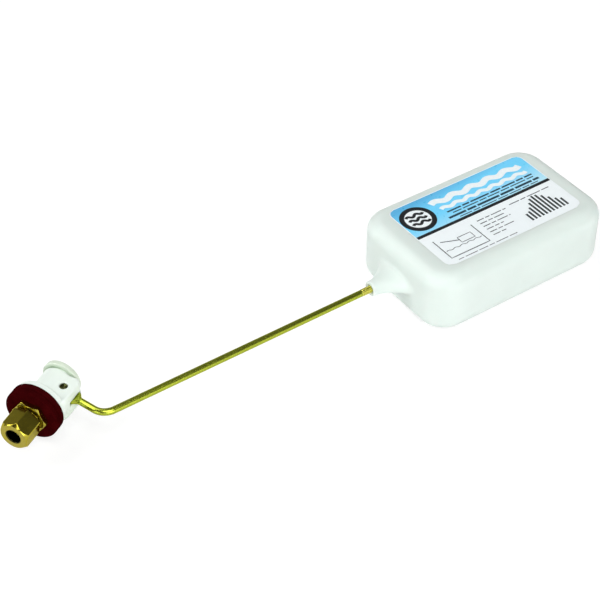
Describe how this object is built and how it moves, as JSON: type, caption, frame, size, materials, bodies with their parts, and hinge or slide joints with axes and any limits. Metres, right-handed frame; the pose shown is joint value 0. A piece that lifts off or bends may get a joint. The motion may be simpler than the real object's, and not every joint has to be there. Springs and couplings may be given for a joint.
{
  "type": "float valve",
  "caption": "Tank float valve: brass tube inlet with lock nut and red gaskets, white valve body with pivoting bent brass arm that carries a hollow plastic float.",
  "frame": {"origin": "on the inlet axis at the flange's sealing face, where the inner gasket seats", "axes": "+X along the inlet, from the tube into the tank; +Z along the pivot pin; the arm hangs on the -Y side. In use the part is turned about X so that +Y is up."},
  "size_m": [0.2572, 0.1904, 0.0322],
  "materials": {
    "body_plastic": "white moulded acetal, satin",
    "cap_plastic": "white moulded acetal, satin",
    "stem_brass": "turned, slightly darkened",
    "nut_brass": "turned and lightly polished",
    "gasket_rubber": "dark red, matt",
    "pin_brass": "drawn rod, domed ends, darkened",
    "plunger_plastic": "white moulded acetal",
    "washer_rubber": "black, matt",
    "arm_brass": "drawn rod, dull yellow-green",
    "float_plastic": "blow-moulded milky polyethylene",
    "label_film": null
  },
  "bodies": {
    "valve": {"valve_body": "body_plastic", "end_cap": "cap_plastic", "inlet_stem": "stem_brass", "compression_nut": "nut_brass", "compression_sleeve": "nut_brass", "lock_nut": "stem_brass", "outer_gasket": "gasket_rubber", "inner_gasket": "gasket_rubber", "pivot_pin": "pin_brass"},
    "arm": {"float_arm": "arm_brass", "float_shell": "float_plastic", "float_label": "label_film"},
    "plunger": {"plunger": "plunger_plastic", "seat_washer": "washer_rubber"}
  },
  "joints": [
    {"name": "arm_hinge", "type": "hinge", "parent": "valve", "child": "arm", "pos_m": [0.0102, -0.0067, 0], "axis": [0, 0, 1], "range_deg": [-6, 20]},
    {"name": "plunger_slide", "type": "slide", "parent": "valve", "child": "plunger", "axis": [1, 0, 0], "range_m": [-0.0024, 0.0008]}
  ],
  "couplings": [
    {"joint": "plunger_slide", "follows": "arm_hinge", "m_per_rad": -0.006643}
  ]
}
